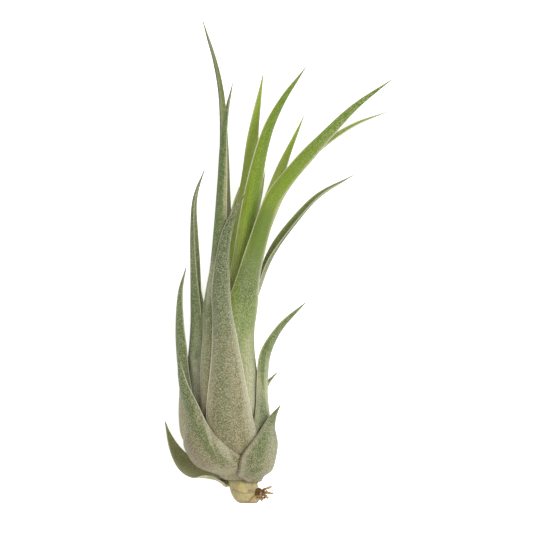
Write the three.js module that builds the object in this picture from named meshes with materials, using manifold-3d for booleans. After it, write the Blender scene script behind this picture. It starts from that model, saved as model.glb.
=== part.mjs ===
// A slender, bulb-shaped air plant, as picked, lying on its back on a flat surface.
// Millimetres, +Z up. +Y runs along the plant from the foot of its stem to the leaf tips, and +X is to
// the right as the plant is seen from above. The origin is the middle of the flat spot it rests on.
// A direction round the plant is in degrees: 0 is up, 90 is to the right, 180 is down to the surface.
import * as THREE from "three";
import Module from "manifold-3d";
import { mergeVertices } from "three/addons/utils/BufferGeometryUtils.js";

const { clamp, degToRad, lerp, smoothstep } = THREE.MathUtils;
const wasm = await Module();
wasm.setup();

// ---- Driving dimensions, measured from the foot of the stem and from the surface ----
const REST_X = -0.5; // the middle of the flat spot under the plant's weight
const REST_Y = 38;
const GAP = 0.35; // between a leaf and what lies inside it
const EDGE_THICK = 0.6; // a leaf's edges
const TIP_HALF = 0.3; // half the width of a leaf at its very tip

// Rows of [distance from the foot, value]: where the plant's axis runs, how wide the bulb is round it,
// and how thick the short stem inside is.
const axisX = through([[0, 4.4], [6.5, 2.6], [12, 0], [21, -2.5], [36, -3.3], [52, -3.5], [62, -2.5],
  [75, -0.8], [100, 3], [140, 9]]);
const axisZ = through([[0, 14.4], [140, 11.6]]);
const bulbRadius = through([[0, 4], [3, 4.8], [6.5, 7], [10.8, 11.2], [16, 13.5], [21, 14.3], [28, 14.3],
  [36, 13.6], [45, 12.8], [52, 11.8], [62, 10.3], [75, 8.8], [100, 7], [140, 6]]);
const stemRadius = through([[0, 2.5], [0.5, 3.2], [1.2, 3.7], [3.5, 4.2], [6.5, 4.1], [10, 3.5], [16, 2.4],
  [28, 1]]);
const STEM_LENGTH = 28;

// ---- The leaves, from the heart of the rosette to the outermost ----
// from: where it grows from the stem. turn: its direction round the plant where it grows and where it
// leaves the bulb. clasps: how far up it hugs the bulb. layer: its radius there, as a share of the
// bulb's. path: points [x, y, z] of its midline after that, the last one its tip. faces: the
// direction that its outer side has there. sheath, blade: half its flattened width, in the bulb and
// beyond. curl: radians that the free blade curls up on each side of its midline. full: how late it
// narrows. peak, spread: where along it the sheath is widest, and how far the sheath reaches.
// thick: at the midline.
const LEAF = { peak: 0.17, spread: 0.2, full: 2.4, curl: 1.05 };
const THICK = { heart: 0.75, inner: 0.8, middle: 0.95, outer: 1.15 };
const LEAVES = [
  { name: "heart_leaf_1", from: 24, turn: [120, 115], clasps: 55, layer: 0.18, sheath: 2.8, blade: 2.2,
    path: [[4.6, 76, 10.8], [7.8, 88, 10.6], [9.5, 96.7, 10.3]], faces: [115, 150] },
  { name: "heart_leaf_2", from: 23, turn: [190, 172], clasps: 50, layer: 0.22, sheath: 3.8, blade: 3.8,
    path: [[0.9, 72, 8.6], [3.5, 85, 8.2], [4.9, 98, 8], [6, 108.2, 7.8], [8.9, 125.6, 8]],
    faces: [172, 182], full: 3.3, curl: 0.7 },
  { name: "heart_leaf_3", from: 22, turn: [120, 132], clasps: 50, layer: 0.28, sheath: 4.2, blade: 3.6,
    path: [[3.2, 64, 8.6], [7.3, 76.3, 8.2], [10.4, 86.3, 7.8], [14.9, 98.9, 7.6], [20.9, 113, 8]],
    faces: [132, 165], full: 3.2, curl: 0.8 },
  { name: "heart_leaf_4", from: 21, turn: [-20, 15], clasps: 50, layer: 0.32, sheath: 5, blade: 4.1,
    path: [[1.8, 62, 16.2], [4.2, 75, 16], [6.4, 90, 15.8], [10.3, 107.1, 15.4], [15.1, 117.6, 15.2],
      [21.5, 126.7, 15]], faces: [15, 40], full: 3.8, curl: 0.9 },
  { name: "inner_leaf_1", from: 20, turn: [-130, -122], clasps: 52, layer: 0.38, sheath: 5, blade: 3,
    path: [[-3.6, 68, 7], [-1.2, 80, 6], [0.8, 88, 5.8], [3.6, 96, 5.6]], faces: [-125, -150] },
  { name: "inner_leaf_2", from: 19, turn: [105, 114], clasps: 52, layer: 0.44, sheath: 5.5, blade: 3.5,
    path: [[5.4, 68, 8], [10.7, 82.6, 7], [17.6, 95.6, 6.2], [25.4, 103.2, 5.8], [35.4, 109.9, 5.4],
      [45.7, 113.9, 5.4]], faces: [114, 140], full: 2.5 },
  { name: "inner_leaf_3", from: 18, turn: [-146, -154], clasps: 48, layer: 0.48, sheath: 5, blade: 3.1,
    path: [[-3.8, 60, 5.8], [-3.4, 70, 5], [-3.1, 85, 4.6], [-3.2, 102, 4.6], [-3.7, 117.8, 5.4],
      [-5.6, 129, 6.2], [-9.1, 140.4, 7]], faces: [-156, -125], full: 3.2 },
  { name: "inner_leaf_4", from: 16.5, turn: [166, 174], clasps: 52, layer: 0.58, sheath: 5, blade: 2.9,
    path: [[0.4, 70, 5], [3.4, 84, 3.4], [6.8, 97, 2.4], [9.8, 107, 2.2]], faces: [175, 170] },
  { name: "inner_leaf_5", from: 16, turn: [80, 95], clasps: 50, layer: 0.6, sheath: 7, blade: 4,
    path: [[7.5, 62.5, 12.8], [11.5, 72.3, 12.2], [18.6, 82.3, 11.6], [25.5, 89.6, 11.4],
      [35.4, 95.2, 11.4]], faces: [98, 122], full: 2.4 },
  { name: "inner_leaf_6", from: 15, turn: [25, 38], clasps: 48, layer: 0.8, sheath: 10.3, blade: 3.6,
    path: [[4.6, 62, 20.6], [7.2, 73, 20.4], [11.7, 87.1, 20], [16.3, 94, 19.8], [27.8, 107.2, 19.4],
      [36.4, 115.6, 19], [46.9, 123.3, 18.6]], faces: [32, 20], full: 3.8, curl: 0.85,
    spread: 0.18 },
  { name: "inner_leaf_7", from: 14, turn: [-88, -77], clasps: 40, layer: 0.72, sheath: 9.7, blade: 6.1,
    path: [[-12, 52, 14.2], [-12, 60, 13.9], [-12, 68, 13.7], [-12, 79, 13.7], [-11.4, 88, 14],
      [-8.4, 96.9, 14.6]], faces: [-82, -106], full: 2.2, curl: 1.25, spread: 0.26 },
  { name: "inner_leaf_8", from: 13.2, turn: [-4, -9], clasps: 46, layer: 0.78, sheath: 5, blade: 3.3,
    path: [[-5.9, 57, 20.4], [-5.3, 66, 20.3], [-4.5, 79, 20.2], [-3.8, 92, 19.4], [-2.8, 108, 18.2],
      [-0.2, 122, 17.4]], faces: [-14, -50], full: 4.2 },
  { name: "middle_leaf_1", from: 12.2, turn: [-155, -150], clasps: 34, layer: 0.8, sheath: 8.5, blade: 4,
    path: [[-9.2, 46, 3], [-10.2, 58, 0.9], [-11, 66, 0.1], [-11.2, 73, 1]], faces: [-150, -165] },
  { name: "middle_leaf_2", from: 11.6, turn: [145, 152], clasps: 34, layer: 0.8, sheath: 8.5, blade: 4,
    path: [[2.2, 46, 2.6], [4.2, 56, 0.9], [5.4, 63, 0.1], [6.4, 70, 1]], faces: [152, 165] },
  { name: "middle_leaf_3", from: 10.8, turn: [-70, -78], clasps: 34, layer: 0.86, sheath: 10, blade: 5.3,
    path: [[-15.7, 42, 15], [-16.1, 51, 15], [-15.5, 61, 15.4], [-13.7, 68.6, 16]], faces: [-74, -66],
    full: 2, spread: 0.27 },
  { name: "middle_leaf_4", from: 10.2, turn: [76, 80], clasps: 33, layer: 0.92, sheath: 9.6, blade: 5.9,
    path: [[10, 42, 14.8], [12.1, 47.5, 14.4], [15.2, 52.2, 14.2], [21.4, 58.2, 14.4]],
    faces: [48, 78], full: 2.5, curl: 0.85 },
  { name: "middle_leaf_5", from: 9.4, turn: [10, 8], clasps: 42, layer: 0.9, sheath: 7.3, blade: 3.9,
    path: [[-2.7, 52, 24.6], [-3.2, 62, 23.4], [-2.2, 76, 22.4], [0.9, 85, 22.2], [3.7, 89.7, 22.2]],
    faces: [4, 10], full: 4 },
  { name: "outer_leaf_1", from: 8.4, turn: [130, 130], clasps: 22, layer: 0.78, sheath: 6.2, blade: 2.9,
    path: [[7.2, 29, 5.6], [9.8, 34.2, 5.9], [13.1, 37.8, 6.4]], faces: [118, 106], peak: 0.3,
    spread: 0.34 },
  { name: "outer_leaf_2", from: 6.8, turn: [-37, -38], clasps: 18, layer: 0.99, sheath: 14.4, blade: 5,
    path: [[-12.5, 26, 25.2], [-14.7, 33, 22.8], [-15.6, 39, 20.8], [-15.9, 44.5, 19.8]],
    faces: [-43, -75], full: 3 },
  { name: "outer_leaf_3", from: 6.2, turn: [62, 64], clasps: 16, layer: 0.94, sheath: 11.2, blade: 4.5,
    path: [[10.3, 21, 19.6], [11.8, 25, 19.2], [13.8, 28.4, 19]], faces: [66, 74], peak: 0.34,
    spread: 0.34 },
  { name: "outer_leaf_4", from: 5.4, turn: [176, 177], clasps: 16, layer: 0.98, sheath: 10, blade: 5,
    path: [[-0.9, 26, -0.3], [-0.6, 34, -0.3], [-0.4, 43, -0.2], [0, 52, 0.4]], faces: [180, 180],
    peak: 0.3, spread: 0.34, curl: 0.8 },
  { name: "outer_leaf_5", from: 4.6, turn: [-112, -114], clasps: 7, layer: 1.05, sheath: 8.8, blade: 3.9,
    path: [[-9.5, 7.3, 7.8], [-13.7, 9.8, 6.6], [-16.7, 13.7, 6.4], [-18.6, 18.5, 7.2], [-20, 23.8, 8.4]],
    faces: [-122, -134], peak: 0.35, spread: 0.26, full: 1.8, curl: 0.7 },
];

// ---- Curves ----

// A smooth curve through rows of [at, value, ...]: with one value it gives a number, else a list.
function through(rows) {
  const last = rows.length - 1;
  const slopes = rows.map((row, i) => {
    const before = rows[Math.max(i - 1, 0)];
    const after = rows[Math.min(i + 1, last)];
    return row.map((_, k) => (after[k] - before[k]) / (after[0] - before[0]));
  });
  return (at) => {
    let i = 0;
    while (i < last - 1 && at > rows[i + 1][0]) i += 1;
    const span = rows[i + 1][0] - rows[i][0];
    const t = clamp((at - rows[i][0]) / span, 0, 1);
    const values = [];
    for (let k = 1; k < rows[i].length; k += 1) {
      const rise = rows[i + 1][k] - rows[i][k];
      const start = slopes[i][k] * span;
      const end = slopes[i + 1][k] * span;
      values.push(rows[i][k] + t * (start + t * (3 * rise - 2 * start - end + t * (start + end - 2 * rise))));
    }
    return values.length > 1 ? values : values[0];
  };
}

// The same through points in space, by the length of the straight steps between them.
function pathThrough(points) {
  const rows = [];
  points.forEach((point, i) => {
    const step = i ? Math.hypot(...point.map((c, k) => c - points[i - 1][k])) : 0;
    rows.push([i ? rows[i - 1][0] + step : 0, ...point]);
  });
  return { at: through(rows), length: rows[rows.length - 1][0] };
}

// ---- How far out the leaves inside reach ----

const REACH_ROWS = 141; // one each millimetre along the plant
const REACH_COLUMNS = 72; // one each 5 degrees round it
const REACH_SPREAD = 2; // columns on each side over which an edge's step is evened out
const FULL_LIFT_END = 80; // beyond this height the free blades are left where their paths put them
const NO_LIFT = 95;

// The plant's outside so far, as a radius for each height and direction.
class Reach {
  constructor() {
    this.rows = Array.from({ length: REACH_ROWS }, (_, y) =>
      new Array(REACH_COLUMNS).fill(y <= STEM_LENGTH ? stemRadius(y) : 0));
    this.even = this.rows;
  }

  // Takes in a leaf's outer face, with points between those it is given.
  add(face) {
    const BETWEEN = 10;
    for (let i = 0; i < (face.length - 1) * BETWEEN; i += 1) {
      const near = face[Math.floor(i / BETWEEN)];
      const far = face[Math.floor(i / BETWEEN) + 1];
      for (let k = 0; k <= (near.length - 1) * BETWEEN; k += 1) {
        const c = Math.min(Math.floor(k / BETWEEN), near.length - 2);
        const t = k / BETWEEN - c;
        const point = near[c].clone().lerp(near[c + 1], t);
        this.take(point.lerp(far[c].clone().lerp(far[c + 1], t), (i % BETWEEN) / BETWEEN));
      }
    }
    const over = (row, pick) => row.map((_, c) => {
      const near = [];
      for (let k = -REACH_SPREAD; k <= REACH_SPREAD; k += 1) {
        near.push(row[(c + k + REACH_COLUMNS) % REACH_COLUMNS]);
      }
      return pick(near);
    });
    const mean = (list) => list.reduce((a, b) => a + b, 0) / list.length;
    this.even = this.rows.map((row) => over(over(row, (near) => Math.max(...near)), mean));
  }

  take(point) {
    const dx = point.x - axisX(point.y);
    const dz = point.z - axisZ(point.y);
    const row = this.rows[clamp(Math.round(point.y), 0, REACH_ROWS - 1)];
    const column = Math.round(columnOf(dx, dz)) % REACH_COLUMNS;
    row[column] = Math.max(row[column], Math.hypot(dx, dz));
  }

  at(y, dx, dz) {
    const column = columnOf(dx, dz);
    const c = Math.floor(column);
    const r = clamp(Math.floor(y), 0, REACH_ROWS - 2);
    const along = (row) => lerp(row[c % REACH_COLUMNS], row[(c + 1) % REACH_COLUMNS], column - c);
    return lerp(along(this.even[r]), along(this.even[r + 1]), clamp(y - r, 0, 1));
  }
}

function columnOf(dx, dz) {
  const turn = Math.atan2(dx, dz) / (2 * Math.PI);
  return (turn < 0 ? turn + 1 : turn) * REACH_COLUMNS;
}

// ---- A leaf ----

const ACROSS = 8; // faces from one edge to the other
const MAX_WRAP = 2.2; // radians round the axis on each side of the midline

function fromAxis(y, radius, degrees) {
  const angle = degToRad(degrees);
  return [axisX(y) + radius * Math.sin(angle), y, axisZ(y) + radius * Math.cos(angle)];
}

// The midline: up the stem and the bulb by the leaf's layer, then along its own path.
function midline(leaf) {
  const rise = clamp(0.55 * leaf.from, 3, 10); // the height over which it swells out from the stem
  const points = [0, 0.14, 0.32, 0.6, 1].map((step) => {
    const y = lerp(leaf.from, leaf.clasps, step);
    const stem = stemRadius(y) + GAP + leaf.thick / 2;
    const radius = lerp(stem, Math.max(stem, leaf.layer * bulbRadius(y)),
      smoothstep(y, leaf.from, leaf.from + rise));
    return fromAxis(y, radius, lerp(leaf.turn[0], leaf.turn[1], step));
  });
  return pathThrough([...points, ...leaf.path]);
}

function halfWidth(leaf, v) {
  const blade = leaf.blade * (1 - v ** leaf.full);
  const sheath = (leaf.sheath - leaf.blade) * Math.exp(-(((v - leaf.peak) / leaf.spread) ** 2));
  return Math.max((blade + sheath) * lerp(0.6, 1, smoothstep(v, 0, 0.1)), TIP_HALF);
}

function halfThickness(leaf, v, u) {
  const middle = lerp(leaf.thick, EDGE_THICK + 0.1, v * v);
  return lerp(middle, EDGE_THICK, u * u) / 2;
}

// A point of the leaf: v runs from its base to its tip, u from one edge to the other, -1 to 1, and
// side is 1 on its outer face and -1 on its inner one.
function leafPoint(leaf, line, v, u, side) {
  const [x, y, z] = line.at(v * line.length);
  const half = halfWidth(leaf, v);
  const out = side * halfThickness(leaf, v, u);

  // Wrapped round the plant's axis, as in the bulb.
  const dx = x - axisX(y);
  const dz = z - axisZ(y);
  const radius = Math.hypot(dx, dz);
  const turn = Math.atan2(dx, dz) + u * Math.min(half / radius, MAX_WRAP);
  const wrapped = new THREE.Vector3(
    axisX(y) + (radius + out) * Math.sin(turn), y, axisZ(y) + (radius + out) * Math.cos(turn));

  // Curled up about its own midline, as in the free blade.
  const ahead = new THREE.Vector3(...line.at((v + 0.01) * line.length));
  const behind = new THREE.Vector3(...line.at((v - 0.01) * line.length));
  const tangent = ahead.sub(behind).normalize();
  const face = degToRad(lerp(leaf.faces[0], leaf.faces[1], smoothstep(v, 0.3, 0.8)));
  const outward = new THREE.Vector3(Math.sin(face), 0, Math.cos(face));
  outward.addScaledVector(tangent, -outward.dot(tangent)).normalize();
  const across = tangent.clone().cross(outward);
  const bend = Math.max(half / leaf.curl, leaf.thick);
  const roll = (u * half) / bend;
  const curled = new THREE.Vector3(x, y, z).addScaledVector(outward, -bend);
  curled.addScaledVector(outward, (bend + out) * Math.cos(roll));
  curled.addScaledVector(across, (bend + out) * Math.sin(roll));

  return wrapped.lerp(curled, smoothstep(y, leaf.clasps - 4, leaf.clasps + 12));
}

// How far a point of a leaf's inner face has to move out from the axis to clear the leaves inside it.
function liftFor(point, reach) {
  const SOFT = 0.25; // evens out where the lift begins
  const dx = point.x - axisX(point.y);
  const dz = point.z - axisZ(point.y);
  const short = reach.at(point.y, dx, dz) + GAP - Math.hypot(dx, dz);
  return ((short + Math.hypot(short, SOFT)) / 2) * (1 - smoothstep(point.y, FULL_LIFT_END, NO_LIFT));
}

// Raises each lift that is lower than the mean of those round it, so that no bump stands alone.
function evened(lifts) {
  const PASSES = 4;
  for (let pass = 0; pass < PASSES; pass += 1) {
    lifts = lifts.map((row, i) => row.map((lift, k) => {
      const near = [];
      for (const r of [lifts[Math.max(i - 1, 0)], row, lifts[Math.min(i + 1, lifts.length - 1)]]) {
        near.push(r[Math.max(k - 1, 0)], r[k], r[Math.min(k + 1, row.length - 1)]);
      }
      return Math.max(lift, near.reduce((a, b) => a + b) / near.length);
    }));
  }
  return lifts;
}

// Moves a leaf's points out from the axis, and up to the surface the plant lies on.
function raised(face, lifts, floor) {
  face.forEach((row, i) => row.forEach((point, k) => {
    const dx = point.x - axisX(point.y);
    const dz = point.z - axisZ(point.y);
    const radius = Math.hypot(dx, dz);
    point.x += (dx / radius) * lifts[i][k];
    point.z = Math.max(point.z + (dz / radius) * lifts[i][k], floor);
  }));
}

function leafGeometry(leaf, reach) {
  const line = midline(leaf);
  const along = Math.round(8 + line.length / 9);
  const stationAt = (t) => t * (0.72 + 0.28 * t); // closer together near the base
  const face = (side) => Array.from({ length: along + 1 }, (_, i) =>
    Array.from({ length: ACROSS + 1 }, (_, k) =>
      leafPoint(leaf, line, stationAt(i / along), (2 * k) / ACROSS - 1, side)));
  const outer = face(1);
  const inner = face(-1);
  const lifts = evened(inner.map((row) => row.map((point) => liftFor(point, reach))));
  raised(outer, lifts, 0);
  raised(inner, lifts, EDGE_THICK);
  reach.add(outer);
  return closedLoft(outer.map((row, i) => [...row, ...inner[i].reverse()]));
}

// ---- Solids ----

// A closed solid through rings of points. Its end caps join the two sides of a ring, crosswise.
function closedLoft(rings) {
  const count = rings[0].length;
  const triangles = [];
  for (let i = 0; i + 1 < rings.length; i += 1) {
    for (let k = 0; k < count; k += 1) {
      const a = i * count + k;
      const b = i * count + ((k + 1) % count);
      triangles.push(a, b, b + count, a, b + count, a + count);
    }
  }
  for (let a = 0, b = count - 1; a < b - 1; a += 1, b -= 1) {
    const end = (rings.length - 1) * count;
    triangles.push(b, a + 1, a, end + a, end + a + 1, end + b);
    if (a + 1 < b - 1) triangles.push(b, b - 1, a + 1, end + a + 1, end + b - 1, end + b);
  }
  const geometry = new THREE.BufferGeometry();
  const values = rings.flat().flatMap((point) => point.toArray());
  geometry.setAttribute("position", new THREE.Float32BufferAttribute(values, 3));
  return geometry.setIndex(triangles);
}

function solidOf(geometry) {
  const bare = new THREE.BufferGeometry().setAttribute("position", geometry.getAttribute("position"));
  const merged = mergeVertices(geometry.index ? bare.setIndex(geometry.index) : bare, 1e-4);
  return new wasm.Manifold(new wasm.Mesh({
    numProp: 3,
    vertProperties: merged.attributes.position.array,
    triVerts: new Uint32Array(merged.index.array),
  }));
}

function geometryOf(solid) {
  const mesh = solid.getMesh();
  const geometry = new THREE.BufferGeometry();
  geometry.setAttribute("position", new THREE.BufferAttribute(mesh.vertProperties, 3));
  return geometry.setIndex(Array.from(mesh.triVerts));
}

// ---- Stem and roots ----

const CROWN = new THREE.Vector3(7.5, 3, 16.7); // where the roots leave the stem, low on its right
const CROWN_RADIUS = 1.5;
const ROOT_RADIUS = 0.34;
// The tips of the roots that can be told apart, then how many shorter ones curl between them.
const ROOT_TIPS = [[11.2, 4.9, 17.6], [11.6, 2.9, 17.8], [10.2, 1.5, 18.2], [8.4, 0.9, 18.4],
  [5.2, 0.6, 18.8]];
const CURLED_ROOTS = 9;

function crown(gap) {
  return solidOf(new THREE.IcosahedronGeometry(CROWN_RADIUS + gap, 2).translate(CROWN.x, CROWN.y, CROWN.z));
}

function stemGeometry() {
  const SIDES = 16;
  const heights = [0, 0.5, 1.2, 3.5, 6.5, 10, 14, 18, 22, 26, STEM_LENGTH];
  const rings = heights.map((y) =>
    Array.from({ length: SIDES }, (_, k) =>
      new THREE.Vector3(...fromAxis(y, stemRadius(y), (k * 360) / SIDES))));
  return geometryOf(solidOf(closedLoft(rings)).subtract(crown(GAP)));
}

// One root from the crown to its tip, bent sideways on the way and kept outside the stem.
function rootSolid(tip, bend) {
  const CLEAR = 0.9;
  const points = [0, 0.3, 0.6, 0.85, 1].map((t) => {
    const point = CROWN.clone().lerp(tip, t).addScaledVector(bend, Math.sin(t * Math.PI));
    const dx = point.x - axisX(point.y);
    const dz = point.z - axisZ(point.y);
    const short = stemRadius(Math.max(point.y, 0)) + CLEAR - Math.hypot(dx, dz);
    if (t > 0.2 && short > 0) {
      point.x += (dx / Math.hypot(dx, dz)) * short;
      point.z += (dz / Math.hypot(dx, dz)) * short;
    }
    return point;
  });
  const shape = new THREE.Shape(Array.from({ length: 6 }, (_, k) =>
    new THREE.Vector2(Math.cos((k * Math.PI) / 3), Math.sin((k * Math.PI) / 3)).multiplyScalar(ROOT_RADIUS)));
  const extrudePath = new THREE.CatmullRomCurve3(points);
  return solidOf(new THREE.ExtrudeGeometry(shape, { steps: 8, extrudePath }));
}

function rootsGeometry() {
  const draw = seeded(7);
  const between = (low, high) => low + draw() * (high - low);
  const bendOf = (size) => new THREE.Vector3(between(-size, size), between(-size, size), between(0, size));
  let roots = crown(0);
  for (const tip of ROOT_TIPS) {
    roots = roots.add(rootSolid(new THREE.Vector3(...tip), bendOf(0.4)));
  }
  for (let k = 0; k < CURLED_ROOTS; k += 1) {
    const out = new THREE.Vector3(between(0.1, 1), between(-1, 0.5), between(-0.5, 0.8)).normalize();
    roots = roots.add(rootSolid(CROWN.clone().addScaledVector(out, between(2, 2.9)), bendOf(1)));
  }
  return geometryOf(roots);
}

// The same draws, from 0 to 1, each time the part is built.
function seeded(seed) {
  let state = seed;
  return () => {
    state = (state * 48271) % 2147483647;
    return state / 2147483647;
  };
}

// ---- Materials ----
const finish = (color, roughness) => new THREE.MeshStandardMaterial({ color, roughness, metalness: 0 });
const MATERIALS = {
  outer: finish(0xa9ad8c, 0.8),
  middle: finish(0x99a583, 0.75),
  inner: finish(0x8a9e5c, 0.65),
  heart: finish(0x87a03a, 0.6),
  stem: finish(0xa8a860, 0.7),
  roots: finish(0x5f4a33, 0.85),
};

// ---- Assembly ----
const plant = new THREE.Group();
plant.position.set(-REST_X, -REST_Y, 0);

function place(name, geometry, material) {
  const mesh = new THREE.Mesh(geometry, material);
  mesh.name = name;
  plant.add(mesh);
}

place("stem", stemGeometry(), MATERIALS.stem);
place("roots", rootsGeometry(), MATERIALS.roots);
const reach = new Reach();
for (const entry of LEAVES) {
  const layer = entry.name.split("_")[0];
  place(entry.name, leafGeometry({ ...LEAF, thick: THICK[layer], ...entry }, reach), MATERIALS[layer]);
}

export default plant;
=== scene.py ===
"""The looks of a slender, bulb-shaped air plant that lies on its back.

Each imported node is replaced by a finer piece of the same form. Blender works in metres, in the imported
model's frame: +Z up, +Y from the foot of the stem to the leaf tips, +X to the right as the plant is seen
from above. The tables below are in millimetres from the foot of the stem, as the part's source has them.
"""

import math
from functools import lru_cache
from typing import NamedTuple

import bpy
import numpy as np
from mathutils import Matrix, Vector, noise


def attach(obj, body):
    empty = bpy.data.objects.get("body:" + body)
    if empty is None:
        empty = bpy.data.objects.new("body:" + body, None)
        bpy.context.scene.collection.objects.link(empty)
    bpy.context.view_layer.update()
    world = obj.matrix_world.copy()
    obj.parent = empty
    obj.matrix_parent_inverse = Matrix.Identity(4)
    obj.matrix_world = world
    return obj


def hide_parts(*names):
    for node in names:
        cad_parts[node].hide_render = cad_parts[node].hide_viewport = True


bl_info = {
    "name": "Air Plant",
    "version": (1, 0, 0),
    "blender": (4, 5, 0),
    "location": "View3D > Sidebar > Air Plant",
    "description": "Dresses the packed air plant: scurfy leaves, stem stub and wiry roots",
    "category": "Add Mesh",
}

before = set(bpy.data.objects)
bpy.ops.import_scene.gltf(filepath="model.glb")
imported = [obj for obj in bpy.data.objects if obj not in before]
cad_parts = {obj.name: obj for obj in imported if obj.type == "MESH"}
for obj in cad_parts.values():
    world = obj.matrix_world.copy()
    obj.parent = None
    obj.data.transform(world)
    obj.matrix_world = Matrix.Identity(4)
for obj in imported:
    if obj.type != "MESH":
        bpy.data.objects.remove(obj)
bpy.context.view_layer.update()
MM = 0.001


# ---- The plant's form, as in the part's source ----

REST_X, REST_Y = -0.5, 38.0  # the frame's origin, from the foot of the stem
GAP = 0.35  # between a leaf and what lies inside it
EDGE_THICK = 0.6
TIP_HALF = 0.3
STEM_LENGTH = 28
MAX_WRAP = 2.2  # radians round the axis on each side of a leaf's midline
SOLID_ACROSS = 8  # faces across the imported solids' leaves

CROWN = (7.5, 3, 16.7)  # where the roots leave the stem, low on its right
CROWN_RADIUS = 1.5
ROOT_RADIUS = 0.34
ROOT_TIPS = ((11.2, 4.9, 17.6), (11.6, 2.9, 17.8), (10.2, 1.5, 18.2), (8.4, 0.9, 18.4), (5.2, 0.6, 18.8))
CURLED_ROOTS = 9
ROOT_SEED = 7


class Curve:
    """A smooth curve through rows of at, value, ..."""

    def __init__(self, rows):
        rows = np.array(rows, float)
        last = len(rows) - 1
        before = rows[np.maximum(np.arange(last + 1) - 1, 0)]
        after = rows[np.minimum(np.arange(last + 1) + 1, last)]
        self.at, self.values = rows[:, 0], rows[:, 1:]
        self.slopes = (after[:, 1:] - before[:, 1:]) / (after[:, :1] - before[:, :1])

    def __call__(self, at):
        i = np.clip(np.searchsorted(self.at, at) - 1, 0, len(self.at) - 2)
        span = (self.at[i + 1] - self.at[i])[..., None]
        t = np.clip((at - self.at[i])[..., None] / span, 0, 1)
        rise = self.values[i + 1] - self.values[i]
        start, end = self.slopes[i] * span, self.slopes[i + 1] * span
        found = self.values[i] + t * (start + t * (3 * rise - 2 * start - end + t * (start + end - 2 * rise)))
        return found[..., 0] if found.shape[-1] == 1 else found


axis_x = Curve([(0, 4.4), (6.5, 2.6), (12, 0), (21, -2.5), (36, -3.3), (52, -3.5), (62, -2.5), (75, -0.8),
                (100, 3), (140, 9)])
axis_z = Curve([(0, 14.4), (140, 11.6)])
bulb_radius = Curve([(0, 4), (3, 4.8), (6.5, 7), (10.8, 11.2), (16, 13.5), (21, 14.3), (28, 14.3),
                     (36, 13.6), (45, 12.8), (52, 11.8), (62, 10.3), (75, 8.8), (100, 7), (140, 6)])
stem_radius = Curve([(0, 2.5), (0.5, 3.2), (1.2, 3.7), (3.5, 4.2), (6.5, 4.1), (10, 3.5), (16, 2.4), (28, 1)])


class Leaf(NamedTuple):
    """One leaf's course and widths."""
    name: str
    starts: float  # where it grows from the stem
    turn: tuple  # its direction round the plant there and where it leaves the bulb, in degrees
    clasps: float  # how far up it hugs the bulb
    layer: float  # its radius there, as a share of the bulb's
    sheath: float  # half its flattened width in the bulb
    blade: float  # and beyond
    path: tuple  # its midline after the bulb
    faces: tuple  # the direction of its outer side there
    full: float = 2.4  # how late it narrows
    curl: float = 1.05  # radians that the free blade curls up on each side
    peak: float = 0.17  # where along it the sheath is widest
    spread: float = 0.2  # how far the sheath reaches

    @property
    def thick(self):
        return {"heart": 0.75, "inner": 0.8, "middle": 0.95, "outer": 1.15}[self.name.split("_")[0]]


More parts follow.
